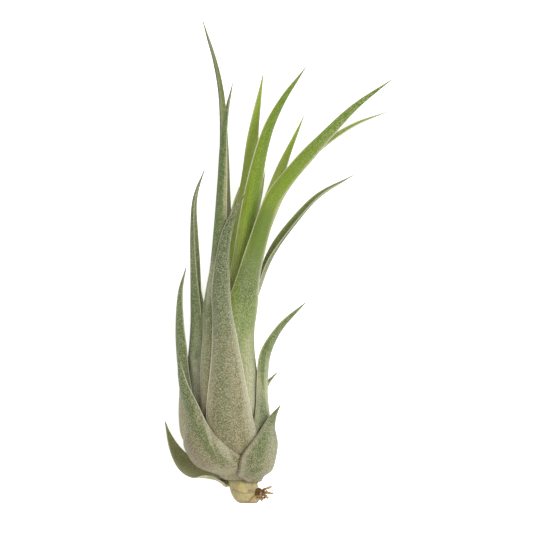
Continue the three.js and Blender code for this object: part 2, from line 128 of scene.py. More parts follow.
LEAVES = [
    Leaf("heart_leaf_1", 24, (120, 115), 55, 0.18, 2.8, 2.2,
         ((4.6, 76, 10.8), (7.8, 88, 10.6), (9.5, 96.7, 10.3)), (115, 150)),
    Leaf("heart_leaf_2", 23, (190, 172), 50, 0.22, 3.8, 3.8,
         ((0.9, 72, 8.6), (3.5, 85, 8.2), (4.9, 98, 8), (6, 108.2, 7.8), (8.9, 125.6, 8)),
         (172, 182), full=3.3, curl=0.7),
    Leaf("heart_leaf_3", 22, (120, 132), 50, 0.28, 4.2, 3.6,
         ((3.2, 64, 8.6), (7.3, 76.3, 8.2), (10.4, 86.3, 7.8), (14.9, 98.9, 7.6), (20.9, 113, 8)),
         (132, 165), full=3.2, curl=0.8),
    Leaf("heart_leaf_4", 21, (-20, 15), 50, 0.32, 5, 4.1,
         ((1.8, 62, 16.2), (4.2, 75, 16), (6.4, 90, 15.8), (10.3, 107.1, 15.4), (15.1, 117.6, 15.2),
          (21.5, 126.7, 15)), (15, 40), full=3.8, curl=0.9),
    Leaf("inner_leaf_1", 20, (-130, -122), 52, 0.38, 5, 3,
         ((-3.6, 68, 7), (-1.2, 80, 6), (0.8, 88, 5.8), (3.6, 96, 5.6)), (-125, -150)),
    Leaf("inner_leaf_2", 19, (105, 114), 52, 0.44, 5.5, 3.5,
         ((5.4, 68, 8), (10.7, 82.6, 7), (17.6, 95.6, 6.2), (25.4, 103.2, 5.8), (35.4, 109.9, 5.4),
          (45.7, 113.9, 5.4)), (114, 140), full=2.5),
    Leaf("inner_leaf_3", 18, (-146, -154), 48, 0.48, 5, 3.1,
         ((-3.8, 60, 5.8), (-3.4, 70, 5), (-3.1, 85, 4.6), (-3.2, 102, 4.6), (-3.7, 117.8, 5.4),
          (-5.6, 129, 6.2), (-9.1, 140.4, 7)), (-156, -125), full=3.2),
    Leaf("inner_leaf_4", 16.5, (166, 174), 52, 0.58, 5, 2.9,
         ((0.4, 70, 5), (3.4, 84, 3.4), (6.8, 97, 2.4), (9.8, 107, 2.2)), (175, 170)),
    Leaf("inner_leaf_5", 16, (80, 95), 50, 0.6, 7, 4,
         ((7.5, 62.5, 12.8), (11.5, 72.3, 12.2), (18.6, 82.3, 11.6), (25.5, 89.6, 11.4), (35.4, 95.2, 11.4)),
         (98, 122)),
    Leaf("inner_leaf_6", 15, (25, 38), 48, 0.8, 10.3, 3.6,
         ((4.6, 62, 20.6), (7.2, 73, 20.4), (11.7, 87.1, 20), (16.3, 94, 19.8), (27.8, 107.2, 19.4),
          (36.4, 115.6, 19), (46.9, 123.3, 18.6)), (32, 20), full=3.8, curl=0.85, spread=0.18),
    Leaf("inner_leaf_7", 14, (-88, -77), 40, 0.72, 9.7, 6.1,
         ((-12, 52, 14.2), (-12, 60, 13.9), (-12, 68, 13.7), (-12, 79, 13.7), (-11.4, 88, 14),
          (-8.4, 96.9, 14.6)), (-82, -106), full=2.2, curl=1.25, spread=0.26),
    Leaf("inner_leaf_8", 13.2, (-4, -9), 46, 0.78, 5, 3.3,
         ((-5.9, 57, 20.4), (-5.3, 66, 20.3), (-4.5, 79, 20.2), (-3.8, 92, 19.4), (-2.8, 108, 18.2),
          (-0.2, 122, 17.4)), (-14, -50), full=4.2),
    Leaf("middle_leaf_1", 12.2, (-155, -150), 34, 0.8, 8.5, 4,
         ((-9.2, 46, 3), (-10.2, 58, 0.9), (-11, 66, 0.1), (-11.2, 73, 1)), (-150, -165)),
    Leaf("middle_leaf_2", 11.6, (145, 152), 34, 0.8, 8.5, 4,
         ((2.2, 46, 2.6), (4.2, 56, 0.9), (5.4, 63, 0.1), (6.4, 70, 1)), (152, 165)),
    Leaf("middle_leaf_3", 10.8, (-70, -78), 34, 0.86, 10, 5.3,
         ((-15.7, 42, 15), (-16.1, 51, 15), (-15.5, 61, 15.4), (-13.7, 68.6, 16)),
         (-74, -66), full=2, spread=0.27),
    Leaf("middle_leaf_4", 10.2, (76, 80), 33, 0.92, 9.6, 5.9,
         ((10, 42, 14.8), (12.1, 47.5, 14.4), (15.2, 52.2, 14.2), (21.4, 58.2, 14.4)),
         (48, 78), full=2.5, curl=0.85),
    Leaf("middle_leaf_5", 9.4, (10, 8), 42, 0.9, 7.3, 3.9,
         ((-2.7, 52, 24.6), (-3.2, 62, 23.4), (-2.2, 76, 22.4), (0.9, 85, 22.2), (3.7, 89.7, 22.2)),
         (4, 10), full=4),
    Leaf("outer_leaf_1", 8.4, (130, 130), 22, 0.78, 6.2, 2.9,
         ((7.2, 29, 5.6), (9.8, 34.2, 5.9), (13.1, 37.8, 6.4)), (118, 106), peak=0.3, spread=0.34),
    Leaf("outer_leaf_2", 6.8, (-37, -38), 18, 0.99, 14.4, 5,
         ((-12.5, 26, 25.2), (-14.7, 33, 22.8), (-15.6, 39, 20.8), (-15.9, 44.5, 19.8)),
         (-43, -75), full=3),
    Leaf("outer_leaf_3", 6.2, (62, 64), 16, 0.94, 11.2, 4.5,
         ((10.3, 21, 19.6), (11.8, 25, 19.2), (13.8, 28.4, 19)), (66, 74), peak=0.34, spread=0.34),
    Leaf("outer_leaf_4", 5.4, (176, 177), 16, 0.98, 10, 5,
         ((-0.9, 26, -0.3), (-0.6, 34, -0.3), (-0.4, 43, -0.2), (0, 52, 0.4)),
         (180, 180), curl=0.8, peak=0.3, spread=0.34),
    Leaf("outer_leaf_5", 4.6, (-112, -114), 7, 1.05, 8.8, 3.9,
         ((-9.5, 7.3, 7.8), (-13.7, 9.8, 6.6), (-16.7, 13.7, 6.4), (-18.6, 18.5, 7.2), (-20, 23.8, 8.4)),
         (-122, -134), full=1.8, curl=0.7, peak=0.35, spread=0.26),
]


def lerp(a, b, t):
    return a + (b - a) * t


def smoothstep(x, low, high):
    t = np.clip((np.asarray(x, float) - low) / (high - low), 0, 1)
    return t * t * (3 - 2 * t)


def from_axis(y, radius, degrees):
    angle = np.radians(degrees)
    y = np.asarray(y, float)
    return np.stack([axis_x(y) + radius * np.sin(angle), y, axis_z(y) + radius * np.cos(angle)], axis=-1)


class Midline:
    """A leaf's midline: up the stem and the bulb by its layer, then along its own path."""

    def __init__(self, leaf):
        rise = np.clip(0.55 * leaf.starts, 3, 10)
        step = np.array([0, 0.14, 0.32, 0.6, 1])
        y = lerp(leaf.starts, leaf.clasps, step)
        stem = stem_radius(y) + GAP + leaf.thick / 2
        radius = lerp(stem, np.maximum(stem, leaf.layer * bulb_radius(y)),
                      smoothstep(y, leaf.starts, leaf.starts + rise))
        points = np.concatenate([from_axis(y, radius, lerp(*leaf.turn, step)), np.array(leaf.path, float)])
        travelled = np.concatenate([[0], np.cumsum(np.linalg.norm(np.diff(points, axis=0), axis=1))])
        self.length = travelled[-1]
        self.curve = Curve(np.column_stack([travelled, points]))

    def at(self, v):
        return self.curve(v * self.length)


def half_width(leaf, v, tip_half):
    """Half a leaf's flattened width: the blade's, with the sheath's swelling near its base."""
    blade = leaf.blade * (1 - np.clip(v, 0, 1) ** leaf.full)
    sheath = (leaf.sheath - leaf.blade) * np.exp(-(((v - leaf.peak) / leaf.spread) ** 2))
    return np.maximum((blade + sheath) * lerp(0.6, 1, smoothstep(v, 0, 0.1)), tip_half)


def half_thickness(leaf, v, u):
    return lerp(lerp(leaf.thick, EDGE_THICK + 0.1, v * v), EDGE_THICK, u * u) / 2


def unit(vectors):
    return vectors / np.linalg.norm(vectors, axis=-1, keepdims=True)


def leaf_points(leaf, line, v, u, out, tip_half=TIP_HALF):
    """Points of a leaf: v from its base to its tip, u across it from -1 to 1, out from its middle layer."""
    middle = line.at(v)
    x, y, z = middle[..., 0], middle[..., 1], middle[..., 2]
    half = half_width(leaf, v, tip_half)

    # Wrapped round the plant's axis, as in the bulb.
    dx, dz = x - axis_x(y), z - axis_z(y)
    radius = np.hypot(dx, dz)
    turn = np.arctan2(dx, dz) + u * np.minimum(half / radius, MAX_WRAP)
    wrapped = np.stack([axis_x(y) + (radius + out) * np.sin(turn), y,
                        axis_z(y) + (radius + out) * np.cos(turn)], axis=-1)

    # Curled up about its own midline, as in the free blade.
    tangent = unit(line.at(v + 0.01) - line.at(v - 0.01))
    face = np.radians(lerp(*leaf.faces, smoothstep(v, 0.3, 0.8)))
    outward = np.stack([np.sin(face), np.zeros_like(face), np.cos(face)], axis=-1)
    outward = unit(outward - tangent * (outward * tangent).sum(axis=-1, keepdims=True))
    across = np.cross(tangent, outward)
    bend = np.maximum(half / leaf.curl, leaf.thick)
    roll = u * half / bend
    curled = (middle + outward * ((bend + out) * np.cos(roll) - bend)[..., None]
              + across * ((bend + out) * np.sin(roll))[..., None])
    return lerp(wrapped, curled, smoothstep(y, leaf.clasps - 4, leaf.clasps + 12)[..., None])


class Reach:
    """How far out the leaves inside reach, for each height and direction."""
    ROWS, COLUMNS = 141, 72  # one row a millimetre
    SPREAD = 2  # columns on each side that a reach is spread over
    BETWEEN = 10  # steps from one given point to the next
    FULL_LIFT_END, NO_LIFT = 80, 95  # heights between which the lift fades
    SOFT = 0.25  # how gently the lift sets in

    def __init__(self):
        height = np.arange(self.ROWS, dtype=float)
        start = np.where(height <= STEM_LENGTH, stem_radius(height), 0)
        self.rows = np.repeat(start[:, None], self.COLUMNS, axis=1)
        self.even = self.rows

    def column(self, dx, dz):
        return (np.arctan2(dx, dz) / (2 * math.pi)) % 1 * self.COLUMNS

    def add(self, face):
        """Takes in a leaf's outer face, with points between those it is given."""
        points = in_between(in_between(face, self.BETWEEN).swapaxes(0, 1), self.BETWEEN).reshape(-1, 3)
        dx, dz = points[:, 0] - axis_x(points[:, 1]), points[:, 2] - axis_z(points[:, 1])
        row = np.clip(np.floor(points[:, 1] + 0.5).astype(int), 0, self.ROWS - 1)
        column = np.floor(self.column(dx, dz) + 0.5).astype(int) % self.COLUMNS
        np.maximum.at(self.rows, (row, column), np.hypot(dx, dz))
        steps = range(-self.SPREAD, self.SPREAD + 1)
        widest = np.max([np.roll(self.rows, step, axis=1) for step in steps], axis=0)
        self.even = np.mean([np.roll(widest, step, axis=1) for step in steps], axis=0)

    def at(self, y, dx, dz):
        column = self.column(dx, dz)
        c = np.floor(column).astype(int)
        r = np.clip(np.floor(y).astype(int), 0, self.ROWS - 2)
        near, far = c % self.COLUMNS, (c + 1) % self.COLUMNS
        below = lerp(self.even[r, near], self.even[r, far], column - c)
        above = lerp(self.even[r + 1, near], self.even[r + 1, far], column - c)
        return lerp(below, above, np.clip(y - r, 0, 1))

    def lift(self, points):
        """How far points of an inner face move out from the axis to clear the leaves inside."""
        y = points[..., 1]
        dx, dz = points[..., 0] - axis_x(y), points[..., 2] - axis_z(y)
        short = self.at(y, dx, dz) + GAP - np.hypot(dx, dz)
        fade = smoothstep(y, self.FULL_LIFT_END, self.NO_LIFT)
        return (short + np.hypot(short, self.SOFT)) / 2 * (1 - fade)


def in_between(grid, steps):
    """The grid with points between its rows."""
    at = np.linspace(0, len(grid) - 1, (len(grid) - 1) * steps + 1)
    low = np.minimum(at.astype(int), len(grid) - 2)
    t = (at - low).reshape(-1, *[1] * (grid.ndim - 1))
    return lerp(grid[low], grid[low + 1], t)


def evened(lifts, passes=4):
    """Raises each lift that is lower than the mean of those round it, so that no bump stands alone."""
    rows, columns = lifts.shape
    for _ in range(passes):
        wide = np.pad(lifts, 1, mode="edge")
        near = [wide[i:i + rows, k:k + columns] for i in range(3) for k in range(3)]
        lifts = np.maximum(lifts, np.mean(near, axis=0))
    return lifts


def raised(points, lifts, floor):
    """Points moved out from the axis, and up to the surface the plant lies on."""
    y = points[..., 1]
    dx, dz = points[..., 0] - axis_x(y), points[..., 2] - axis_z(y)
    radius = np.hypot(dx, dz)
    return np.stack([points[..., 0] + dx / radius * lifts, y,
                     np.maximum(points[..., 2] + dz / radius * lifts, floor)], axis=-1)


def station(t):
    """Rows of a leaf lie closer together near its base."""
    return t * (0.72 + 0.28 * t)


@lru_cache(maxsize=1)
def leaf_lifts():
    """For each leaf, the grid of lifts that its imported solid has."""
    reach = Reach()
    lifts = {}
    for leaf in LEAVES:
        line = Midline(leaf)
        rows = math.floor(8 + line.length / 9 + 0.5)
        v = station(np.arange(rows + 1) / rows)[:, None] * np.ones(SOLID_ACROSS + 1)
        u = np.ones(rows + 1)[:, None] * np.linspace(-1, 1, SOLID_ACROSS + 1)
        out = half_thickness(leaf, v, u)
        lifts[leaf.name] = evened(reach.lift(leaf_points(leaf, line, v, u, -out)))
        reach.add(raised(leaf_points(leaf, line, v, u, out), lifts[leaf.name], 0))
    return lifts


def read_smoothly(grid, rows, columns):
    """The grid's value at fractional rows and columns."""
    def weights(t):
        return (((2 - t) * t - 1) * t / 2, ((3 * t - 5) * t * t + 2) / 2,
                ((4 - 3 * t) * t + 1) * t / 2, (t - 1) * t * t / 2)
    r = np.clip(np.floor(rows).astype(int), 0, grid.shape[0] - 2)
    c = np.clip(np.floor(columns).astype(int), 0, grid.shape[1] - 2)
    total = 0
    for i, row_weight in enumerate(weights(rows - r)):
        for k, column_weight in enumerate(weights(columns - c)):
            value = grid[np.clip(r + i - 1, 0, grid.shape[0] - 1), np.clip(c + k - 1, 0, grid.shape[1] - 1)]
            total = total + row_weight * column_weight * value
    return total


# ---- How each leaf is coloured ----

class Skin(NamedTuple):
    """What sets one leaf's colour apart from the others', its painted light and shade included."""
    young: float  # how far its green is the bright one of young leaves
    scurf: float  # how thick the silvery scurf is
    sheath_end: float  # where the pale colour of its sheath has faded, from its base
    foot: str = "sheath"  # the colour of its sheath, of PlantColours
    clear: float = 200.0  # where its scurf has thinned out, from its base
    keel: float = 0.0  # how much deeper its green is along its middle
    ashen: float = 0.0  # how much of the scurf comes back towards its tip
    dry: float = 2.0  # how far from the tip it has dried
    flush: float = 0.0  # how brown-pink the sheath's margins are
    tone: float = 1.0  # lighter or darker overall: partly its own tone, partly painted light and shade that lift leaves lying in shade and dim some that face the key light
    inside: float = 1.0  # how much lighter its inner side is painted: mostly painted light that lifts inner sides lying in shade deep in the folds
    rim: float = 0.55  # how pale its margins are
    painted_lit_side: float = 0.0  # how much paler its right-hand side is painted, as seen from outside: painted light on the side the key light comes from


SKINS = {
    "heart_leaf_1": Skin(0.9, 0.2, 80, foot="young_foot_and_glow", tone=0.97, inside=1.2),
    "heart_leaf_2": Skin(0.95, 0.2, 102, foot="young_foot_and_glow", inside=1.2, dry=4, rim=0.5),
    "heart_leaf_3": Skin(1, 0.2, 95, foot="young_foot_and_glow", tone=0.95, inside=1.3),
    "heart_leaf_4": Skin(1, 0.2, 70, foot="young_foot_and_glow", keel=0.6, ashen=0.6, dry=9, tone=1.03, rim=1,
                         painted_lit_side=0.7),
    "inner_leaf_1": Skin(0.7, 0.3, 90, foot="young_foot_and_glow", tone=1.2, inside=1.2, rim=0.8),
    "inner_leaf_2": Skin(0.7, 0.5, 36, keel=0.3, ashen=0.4, tone=1.12),
    "inner_leaf_3": Skin(0.2, 0.6, 106, foot="cream", tone=0.72, inside=1.15, rim=0.25),
    "inner_leaf_4": Skin(0.4, 0.3, 36),
    "inner_leaf_5": Skin(0.35, 0.7, 70, foot="cream", tone=0.84, rim=0.7),
    "inner_leaf_6": Skin(1, 0.8, 50, foot="cream", clear=62, keel=0.35, ashen=1, dry=6, tone=0.97, rim=1,
                         painted_lit_side=0.8),
    # its cream foot is partly painted light, lifting the shade on its base between the outer leaves
    "inner_leaf_7": Skin(0.1, 0.8, 42, foot="cream", dry=4, tone=1.02, rim=0.35),
    "inner_leaf_8": Skin(0.1, 0.8, 54, dry=9),
    "middle_leaf_1": Skin(0.2, 0.6, 60),
    "middle_leaf_2": Skin(0.2, 0.6, 60),
    "middle_leaf_3": Skin(0.1, 0.8, 38, dry=5, tone=1.03, rim=0.4),
    "middle_leaf_4": Skin(0.3, 0.8, 40, foot="straw", tone=0.96),
    "middle_leaf_5": Skin(0, 1, 60, dry=6, tone=0.91, rim=1, painted_lit_side=0.75),
    "outer_leaf_1": Skin(0.4, 0.8, 26, tone=1.25, inside=1.3),
    "outer_leaf_2": Skin(0.1, 1, 36, flush=0.6),
    "outer_leaf_3": Skin(0.2, 1, 26, flush=0.4, tone=0.95, painted_lit_side=0.5),
    "outer_leaf_4": Skin(0.2, 0.7, 34, flush=0.4),
    # painted light: its straw foot, its tone and the strong lift of its inner side make up for the shade it
    # lies in behind the bulb
    "outer_leaf_5": Skin(0.3, 0.9, 44, foot="straw", tone=1.05, inside=1.8),
}


class Patch(NamedTuple):
    """A soft-edged area of another colour on a leaf's outer side; a few are painted highlights, shade and
    reflected light.
    """
    across: float  # its middle, to the right of the midline as seen from outside
    along: float  # from the leaf's base
    wide: float  # half its width
    tall: float  # half its height
    tint: str  # a colour of PlantColours
    amount: float


PATCHES = {
    # painted shade on the top of its outer side, which faces the key light
    "inner_leaf_5": (Patch(0, 76, 6, 18, "moss_and_shade", 0.8),),
    "inner_leaf_6": (
        Patch(1, 28, 2.4, 12, "straw", 0.4),
        Patch(-1.5, 30, 0.8, 6, "leaf_green", 0.4),
        Patch(0, 43, 6, 8, "leaf_green", 0.4),
        Patch(0, 54, 5, 11, "leaf_green", 0.8),
        Patch(-0.5, 67, 3.6, 9, "moss_and_shade", 0.7),
    ),
    "inner_leaf_7": (
        # painted light, lifting the shade in the crevice low on its right
        Patch(6, 17, 3, 9, "cream", 0.9),
        Patch(0, 82, 4, 20, "deep_green", 0.9),
    ),
    "inner_leaf_8": (
        Patch(-3, 30, 2.4, 8, "leaf_green", 0.5),
        Patch(0, 54, 4, 8, "scurf", 0.6),
        Patch(0, 86, 1.8, 26, "moss_and_shade", 0.75),
        Patch(1.9, 84, 0.6, 14, "straw", 0.8),
    ),
    "middle_leaf_4": (
        Patch(0, 29, 3, 8, "scurf", 0.5),
        Patch(-4.8, 17, 4.5, 9, "leaf_green", 0.95),
        Patch(-2.6, 32, 0.9, 9, "moss_and_shade", 0.8),
    ),
    "middle_leaf_5": (
        Patch(0, 36, 4, 26, "scurf", 0.1),
        Patch(-2.2, 27, 3.2, 20, "leaf_green", 0.4),
        Patch(-0.6, 52, 2.4, 14, "leaf_green", 0.3),
        # painted light on the right-hand flank, which faces the key light
        Patch(5.3, 20, 2.2, 12, "cream", 0.4),
        Patch(6.2, 15.9, 0.5, 0.5, "dry_tip", 0.9),
    ),
    "outer_leaf_2": (
        # partly the sheath's brown-pink flush, partly painted shade and pinkish reflected light
        Patch(-3.6, 11.5, 4.2, 9.5, "flush", 0.6),
        Patch(1.4, 28, 1.8, 9, "moss_and_shade", 0.4),
        Patch(3.4, 18, 2.2, 6, "moss_and_shade", 0.65),
        Patch(4.8, 12.5, 2.4, 3.5, "moss_and_shade", 0.35),
        # painted highlight: the pale ridge along the right of the green band
        Patch(4.9, 21.5, 0.9, 7.5, "cream", 0.8),
        Patch(7.6, 14.5, 1.7, 4.5, "cream", 0.7),
        Patch(3, 4.5, 4, 3.5, "straw", 0.4),
    ),
    "outer_leaf_3": (
        Patch(-6.8, 11, 2.8, 8, "deep_green", 0.4),
        Patch(-4.9, 12.5, 2.2, 7, "moss_and_shade", 0.5),
        Patch(-1, 21.5, 2.4, 4.5, "moss_and_shade", 0.9),
        Patch(-5.5, 4.8, 1.3, 1.3, "moss_and_shade", 0.7),
        Patch(-0.4, 11, 2.6, 7, "cream", 0.3),
    ),
}


# ---- Settings that a user would change ----

def linear(red, green, blue):
    """A colour given as on screen, 0 to 255, as scene-linear values."""
    def one(value):
        value /= 255
        return value / 12.92 if value <= 0.04045 else ((value + 0.055) / 1.055) ** 2.4
    return one(red), one(green), one(blue)


def length_setting(name, description, millimetres):
    return bpy.props.FloatProperty(name=name, description=description, default=millimetres * MM, min=0,
                                   precision=5, subtype="DISTANCE", unit="LENGTH")


def colour_setting(name, description, *screen):
    return bpy.props.FloatVectorProperty(name=name, description=description, default=linear(*screen), size=3,
                                         min=0, max=1, subtype="COLOR")


class PlantColours(bpy.types.PropertyGroup):
    """The colours of the leaves, stem and roots."""
    leaf_green: colour_setting("Leaf green", "Of a full-grown blade", 106, 116, 74)
    young_green: colour_setting("Young green", "Of the young leaves in the middle", 130, 150, 22)
    # the green of real bare patches, also used as painted shade
    moss_and_shade: colour_setting("Moss green", "Of the bare patches on outer leaves", 94, 112, 48)
    deep_green: colour_setting("Deep green", "Where the scurf is rubbed off", 84, 98, 50)
    keel: colour_setting("Keel green", "Along the middle of a young leaf", 96, 122, 22)
    inner_green: colour_setting("Inner side", "Of a full-grown leaf's inner side", 142, 148, 92)
    young_inner: colour_setting("Young inner side", "Of a young leaf's inner side", 146, 166, 40)
    sheath: colour_setting("Sheath", "Of the clasping foot of a leaf", 152, 136, 100)
    # partly the pale colour of a young sheath, partly painted light: the glow through translucent leaves low
    # in the shaded folds
    young_foot_and_glow: colour_setting("Young foot", "Of a young leaf low between the others", 214, 224, 132)
    # the palest sheath colour, also used for painted highlights on lit flanks and ridges
    cream: colour_setting("Cream", "Of the palest parts of a sheath", 194, 186, 160)
    straw: colour_setting("Straw", "Of the yellowish parts of a sheath", 176, 168, 122)
    flush: colour_setting("Flush", "Of the brown-pink margins low on a sheath", 138, 110, 88)
    scurf: colour_setting("Scurf", "Of the fine scales all over the leaves", 196, 190, 164)
    rim: colour_setting("Margin", "Of the thin dry edge of a leaf", 206, 202, 172)
    # partly a brownish-purple tint, partly painted contact shadow where an edge lies on the leaf below
    seam: colour_setting("Seam", "Of the thin line along a clasping edge", 118, 98, 84)
    dry_tip: colour_setting("Dry tip", "Of a leaf's withered tip", 120, 98, 60)
    stem: colour_setting("Stem", "Of the stem stub", 160, 146, 98)
    stem_yellow: colour_setting("Stem, yellow", "Of the stem's fresh patches", 194, 176, 104)
    stem_dry: colour_setting("Stem, dry", "Of the stem's foot and scars", 118, 92, 62)
    root_dark: colour_setting("Root, dark", "Of the root crown", 102, 75, 44)
    root_tan: colour_setting("Root, tan", "Of the roots' worn ends", 182, 148, 104)


class LeafSizes(bpy.types.PropertyGroup):
    """How finely the leaves are made."""
    across: bpy.props.IntProperty(name="Faces across", description="Faces from margin to margin", default=14,
                                  min=6, max=40)
    row_height: length_setting("Row height", "Length of a face along a leaf", 1.5)
    margin: length_setting("Margin", "Thickness of a leaf's edge", 0.22)
    tip: length_setting("Tip", "Half the width of a leaf's tip", 0.05)
    hug: length_setting("Hug", "How far a clasping edge leans in on the leaf below", 0.22)
    waves: length_setting("Waves", "How far the free margins wave", 0.12)


class StageSizes(bpy.types.PropertyGroup):
    """The camera, the floor and the light."""
    view_height: length_setting("View height", "Height of the picture at the plant", 154.6)
    distance: length_setting("Distance", "From the camera to the plant", 2000)
    view_x: length_setting("View X", "The picture's middle", 10.2)
    view_y: length_setting("View Y", "The picture's middle", 30.6)
    floor: colour_setting("Floor", "Of the plain floor", 250, 250, 250)
    sky: bpy.props.FloatProperty(name="Sky", description="Strength of the light from all round", default=0.76,
                                 min=0)
    key: bpy.props.FloatProperty(name="Key light", description="Power of the large soft light", default=5.5,
                                 min=0, subtype="POWER", unit="POWER")


# ---- Node materials ----

class Value:
    """A number that varies over a surface. Arithmetic on it adds Math nodes."""

    def __init__(self, nodes, socket):
        self.nodes, self.socket = nodes, socket

    def maths(self, operation, *values):
        sockets = dict(enumerate(values))
        return self.nodes.add("ShaderNodeMath", {"operation": operation}, sockets)["Value"]

    def __add__(self, other):
        return self.maths("ADD", self, other)

    def __sub__(self, other):
        return self.maths("SUBTRACT", self, other)

    def __rsub__(self, other):
        return self.maths("SUBTRACT", other, self)

    def __mul__(self, other):
        return self.maths("MULTIPLY", self, other)

    def __truediv__(self, other):
        return self.maths("DIVIDE", self, other)

    def __pow__(self, other):
        return self.maths("POWER", self, other)

    def __abs__(self):
        return self.maths("ABSOLUTE", self)

    __radd__ = __add__
    __rmul__ = __mul__

    def sine(self):
        return self.maths("SINE", self)

    def step(self, low, high):
        """Rises smoothly from 0 at low to 1 at high."""
        return self.nodes.add("ShaderNodeMapRange", {"interpolation_type": "SMOOTHSTEP"},
                              {"Value": self, "From Min": low, "From Max": high})["Result"]

    def fall(self, low, high):
        """Falls smoothly from 1 at low to 0 at high."""
        return 1 - self.step(low, high)


class Node:
    """A node whose outputs are read by name or number."""

    def __init__(self, nodes, node):
        self.nodes, self.node = nodes, node

    def __getitem__(self, output):
        return Value(self.nodes, self.node.outputs[output])


class Nodes:
    """A new material's nodes, with its shader already joined to the output."""

    def __init__(self, name, **constants):
        self.material = bpy.data.materials.new(name)
        self.material.use_nodes = True
        self.tree = self.material.node_tree
        self.tree.nodes.clear()
        self.shader = self.add("ShaderNodeBsdfPrincipled", {}, {})
        for socket, value in constants.items():
            self.shader.node.inputs[socket.replace("_", " ")].default_value = value
        self.add("ShaderNodeOutputMaterial", {}, {"Surface": self.shader[0]})

    def add(self, kind, settings, sockets):
        """One node of a kind, with its settings made first, then its sockets' values or links."""
        node = self.tree.nodes.new(kind)
        for key, value in settings.items():
            setattr(node, key, value)
        for key, value in sockets.items():
            self.feed(node.inputs[key], value)
        return Node(self, node)

    def feed(self, socket, value):
        if isinstance(value, Value):
            self.tree.links.new(value.socket, socket)
        elif socket.type == "RGBA":
            socket.default_value = (*value[:3], 1)
        else:
            socket.default_value = value

    def surface(self, **sockets):
        """Feeds the shader's sockets."""
        for socket, value in sockets.items():
            self.feed(self.shader.node.inputs[socket.replace("_", " ")], value)
        return self.material

    def place(self):
        """Where a point is, in millimetres."""
        metres = self.add("ShaderNodeTexCoord", {}, {})["Object"]
        return self.add("ShaderNodeVectorMath", {"operation": "SCALE"}, {0: metres, "Scale": 1 / MM})[0]

    def attribute(self, name):
        """A vector attribute's three numbers."""
        return self.split(self.add("ShaderNodeAttribute", {"attribute_name": name}, {})["Vector"])

    def split(self, vector):
        parts = self.add("ShaderNodeSeparateXYZ", {}, {0: vector})
        return parts["X"], parts["Y"], parts["Z"]

    def join(self, x, y, z):
        return self.add("ShaderNodeCombineXYZ", {}, {"X": x, "Y": y, "Z": z})[0]

    def noise(self, vector, detail, roughness=0.5, scale=1.0):
        return self.add("ShaderNodeTexNoise", {}, {"Vector": vector, "Scale": scale, "Detail": detail,
                                                   "Roughness": roughness})[0]

    def cells(self, vector):
        """Scattered points: the distance to the nearest, and a colour of its own for each."""
        return self.add("ShaderNodeTexVoronoi", {}, {"Vector": vector, "Scale": 1})

    def mix(self, amount, under, over, blend="MIX"):
        """A colour laid over another."""
        return self.add("ShaderNodeMix", {"data_type": "RGBA", "blend_type": blend, "clamp_factor": True},
                        {0: amount, 6: under, 7: over})[2]

    def bump(self, height, depth, strength):
        return self.add("ShaderNodeBump", {}, {"Height": height, "Distance": depth * MM,
                                               "Strength": strength})["Normal"]


SCALES_ACROSS, SCALES_ALONG = 3.9, 3.4  # scales of the scurf in a millimetre
VEINS = 9  # radians of the veins' wave in a millimetre across
PIT_SHADE = (0.42, 0.56, 0.36)  # what is left of a colour between the scales
RELIEF = 0.12  # depth of the scales and veins


